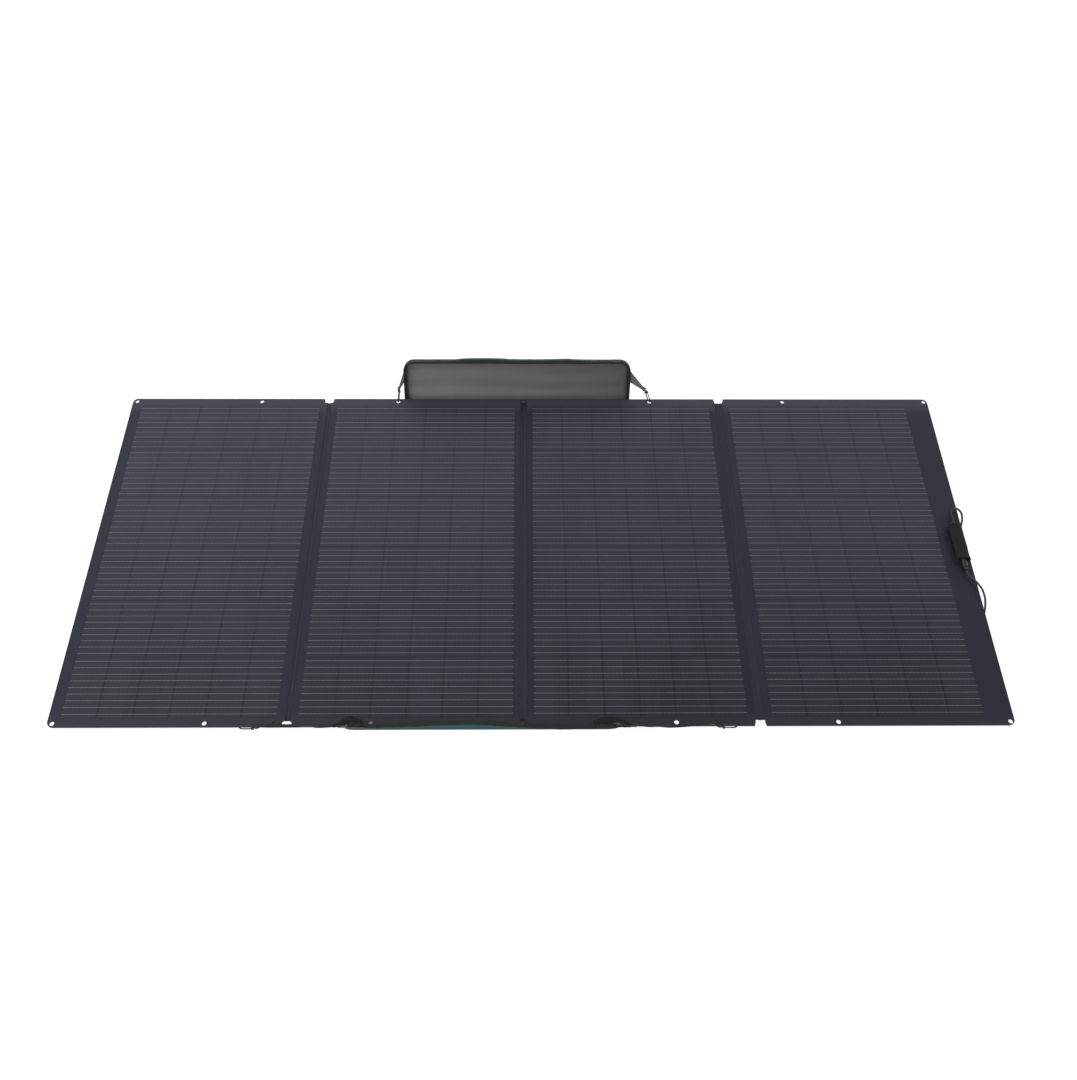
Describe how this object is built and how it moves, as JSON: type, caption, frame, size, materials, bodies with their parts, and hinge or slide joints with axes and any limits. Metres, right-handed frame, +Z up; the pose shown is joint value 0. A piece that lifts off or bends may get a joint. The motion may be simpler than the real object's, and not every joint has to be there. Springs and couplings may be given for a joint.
{
  "type": "folding solar array with carry case stand",
  "caption": "Folding solar array of dark laminated panels, leaning on its own opened zip-round carry case, with output leads and snap hooks.",
  "frame": {"origin": "middle of the underside of the case leaf that lies on the ground", "axes": "+X to the right along the array, +Y away from the front, +Z up"},
  "size_m": [2.3778, 1.0962, 0.9839],
  "materials": {
    "laminate": "satin clear film over dark backing",
    "cell": "satin textured film over dark monocrystalline silicon",
    "ribbon": "tinned ribbon seen through the film",
    "back_cloth": "matt black plain-weave polyester",
    "seam_cloth": "coated seam cloth",
    "box_plastic": "fine moulded texture",
    "screw_steel": "zinc plated",
    "diode": "moulded epoxy",
    "lead_jacket": "satin cable jacket",
    "plug_plastic": "moulded nylon",
    "contact_metal": "tinned copper alloy",
    "wrap_cloth": "looped hook-and-loop cloth",
    "shell_cloth": "teal oxford weave",
    "stiffener": "foam board",
    "lining_cloth": "grey coated lining",
    "gusset_cloth": "teal oxford weave",
    "zip_tape": "black zip tape and coil",
    "handle_webbing": "black webbing with padded grip",
    "slider_metal": "black enamelled zinc",
    "ear_cloth": "grey coated cloth",
    "hook_metal": "black oxide",
    "gate_steel": "dark steel",
    "strap_webbing": "black polyester webbing"
  },
  "bodies": {
    "ground_leaf": {"base_shell": "shell_cloth", "base_board": "stiffener", "base_lining": "lining_cloth", "base_gusset": "gusset_cloth", "base_zip": "zip_tape", "front_ears": "ear_cloth", "bottom_strap_left": "strap_webbing", "bottom_strap_right": "strap_webbing", "bottom_hook_left": "hook_metal", "bottom_hook_right": "hook_metal"},
    "panel_2": {"laminate_2": "laminate", "cells_2": "cell", "ribbons_2": "ribbon", "back_cover_2": "back_cloth", "seam_12": "seam_cloth", "seam_23": "seam_cloth"},
    "panel_1": {"laminate_1": "laminate", "cells_1": "cell", "ribbons_1": "ribbon", "back_cover_1": "back_cloth"},
    "panel_3": {"laminate_3": "laminate", "cells_3": "cell", "ribbons_3": "ribbon", "back_cover_3": "back_cloth", "seam_34": "seam_cloth"},
    "panel_4": {"laminate_4": "laminate", "cells_4": "cell", "ribbons_4": "ribbon", "back_cover_4": "back_cloth", "junction_box_base": "box_plastic", "junction_box_lid": "box_plastic", "junction_box_screws": "screw_steel", "bypass_diodes": "diode", "cable_glands": "box_plastic", "lead_clips": "box_plastic", "lead_positive": "lead_jacket", "lead_negative": "lead_jacket", "plug_positive": "plug_plastic", "plug_negative": "plug_plastic", "contact_pin": "contact_metal", "cable_wrap_base": "wrap_cloth"},
    "wrap_flap": {"cable_wrap_flap": "wrap_cloth"},
    "case_spine": {"spine": "shell_cloth"},
    "raised_leaf": {"rear_shell": "shell_cloth", "rear_board": "stiffener", "rear_lining": "lining_cloth", "rear_gusset": "gusset_cloth", "rear_zip": "zip_tape", "ear_tabs": "ear_cloth"},
    "ground_handle": {"base_handle": "handle_webbing"},
    "raised_handle": {"rear_handle": "handle_webbing"},
    "slider_left": {"zip_slider_left": "slider_metal"},
    "slider_right": {"zip_slider_right": "slider_metal"},
    "hook_left": {"top_hook_left": "hook_metal"},
    "hook_right": {"top_hook_right": "hook_metal"},
    "gate_left": {"top_gate_left": "gate_steel"},
    "gate_right": {"top_gate_right": "gate_steel"},
    "ground_gate_left": {"bottom_gate_left": "gate_steel"},
    "ground_gate_right": {"bottom_gate_right": "gate_steel"}
  },
  "joints": [
    {"name": "array_lean", "type": "hinge", "parent": "ground_leaf", "child": "panel_2", "pos_m": [0, -0.519, 0.0051], "axis": [-1, 0, 0], "range_deg": [-35, 0]},
    {"name": "fold_12", "type": "hinge", "parent": "panel_2", "child": "panel_1", "pos_m": [-0.558, -0.23855, 0.41915], "axis": [0, 0.5764, 0.8171], "range_deg": [0, 180]},
    {"name": "fold_23", "type": "hinge", "parent": "panel_2", "child": "panel_3", "pos_m": [0.019, -0.24296, 0.42226], "axis": [0, -0.5764, -0.8171], "range_deg": [0, 180]},
    {"name": "fold_34", "type": "hinge", "parent": "panel_3", "child": "panel_4", "pos_m": [0.6, -0.24214, 0.42168], "axis": [0, 0.5764, 0.8171], "range_deg": [-180, 0]},
    {"name": "wrap_open", "type": "hinge", "parent": "panel_4", "child": "wrap_flap", "pos_m": [1.225, -0.21265, 0.44371], "axis": [0, 0.5764, 0.8171], "range_deg": [0, 100]},
    {"name": "spine_fold", "type": "hinge", "parent": "ground_leaf", "child": "case_spine", "pos_m": [0, 0.531, 0.00175], "axis": [-1, 0, 0], "range_deg": [0, 58.6]},
    {"name": "leaf_fold", "type": "hinge", "parent": "case_spine", "child": "raised_leaf", "pos_m": [0, 0.55655, 0.04415], "axis": [-1, 0, 0], "range_deg": [0, 58.6]},
    {"name": "ground_handle_lift", "type": "hinge", "parent": "ground_leaf", "child": "ground_handle", "pos_m": [0.2934, 0, 0.0064], "axis": [-0.0788, -0.9969, 0], "range_deg": [0, 70]},
    {"name": "raised_handle_lift", "type": "hinge", "parent": "raised_leaf", "child": "raised_handle", "pos_m": [0.341, 0.30641, 0.51255], "axis": [0, -0.4673, 0.8841], "range_deg": [0, 80]},
    {"name": "slider_left_run", "type": "slide", "parent": "ground_leaf", "child": "slider_left", "axis": [-0.0788, -0.9969, 0], "range_m": [0, 0.9]},
    {"name": "slider_right_run", "type": "slide", "parent": "ground_leaf", "child": "slider_right", "axis": [-0.0788, -0.9969, 0], "range_m": [0, 0.9]},
    {"name": "hook_left_swing", "type": "hinge", "parent": "panel_2", "child": "hook_left", "pos_m": [-0.354, 0.08971, 0.86801], "axis": [1, 0, 0], "range_deg": [-90, 0]},
    {"name": "hook_right_swing", "type": "hinge", "parent": "panel_3", "child": "hook_right", "pos_m": [0.394, 0.08971, 0.86801], "axis": [1, 0, 0], "range_deg": [-90, 0]},
    {"name": "gate_left_open", "type": "hinge", "parent": "hook_left", "child": "gate_left", "pos_m": [-0.35235, 0.08005, 0.88755], "axis": [0.9877, -0.0902, -0.1278], "range_deg": [0, 30], "stiffness_Nm_per_rad": 0.01, "springref_deg": -11.46},
    {"name": "gate_right_open", "type": "hinge", "parent": "hook_right", "child": "gate_right", "pos_m": [0.38873, 0.07931, 0.88651], "axis": [0.866, 0.2882, 0.4086], "range_deg": [0, 30], "stiffness_Nm_per_rad": 0.01, "springref_deg": -11.46},
    {"name": "ground_gate_left_open", "type": "hinge", "parent": "ground_leaf", "child": "ground_gate_left", "pos_m": [-0.6406, -0.53692, 0.01267], "axis": [0, -0.766, -0.6428], "range_deg": [0, 30], "stiffness_Nm_per_rad": 0.01, "springref_deg": -11.46},
    {"name": "ground_gate_right_open", "type": "hinge", "parent": "ground_leaf", "child": "ground_gate_right", "pos_m": [0.5106, -0.52908, 0.00333], "axis": [0, -0.766, -0.6428], "range_deg": [0, 30], "stiffness_Nm_per_rad": 0.01, "springref_deg": -11.46}
  ],
  "couplings": [
    {"joint": "leaf_fold", "follows": "spine_fold", "ratio": 1},
    {"joint": "hook_left_swing", "follows": "fold_23", "ratio": -0.5},
    {"joint": "hook_right_swing", "follows": "fold_23", "ratio": -0.5}
  ]
}
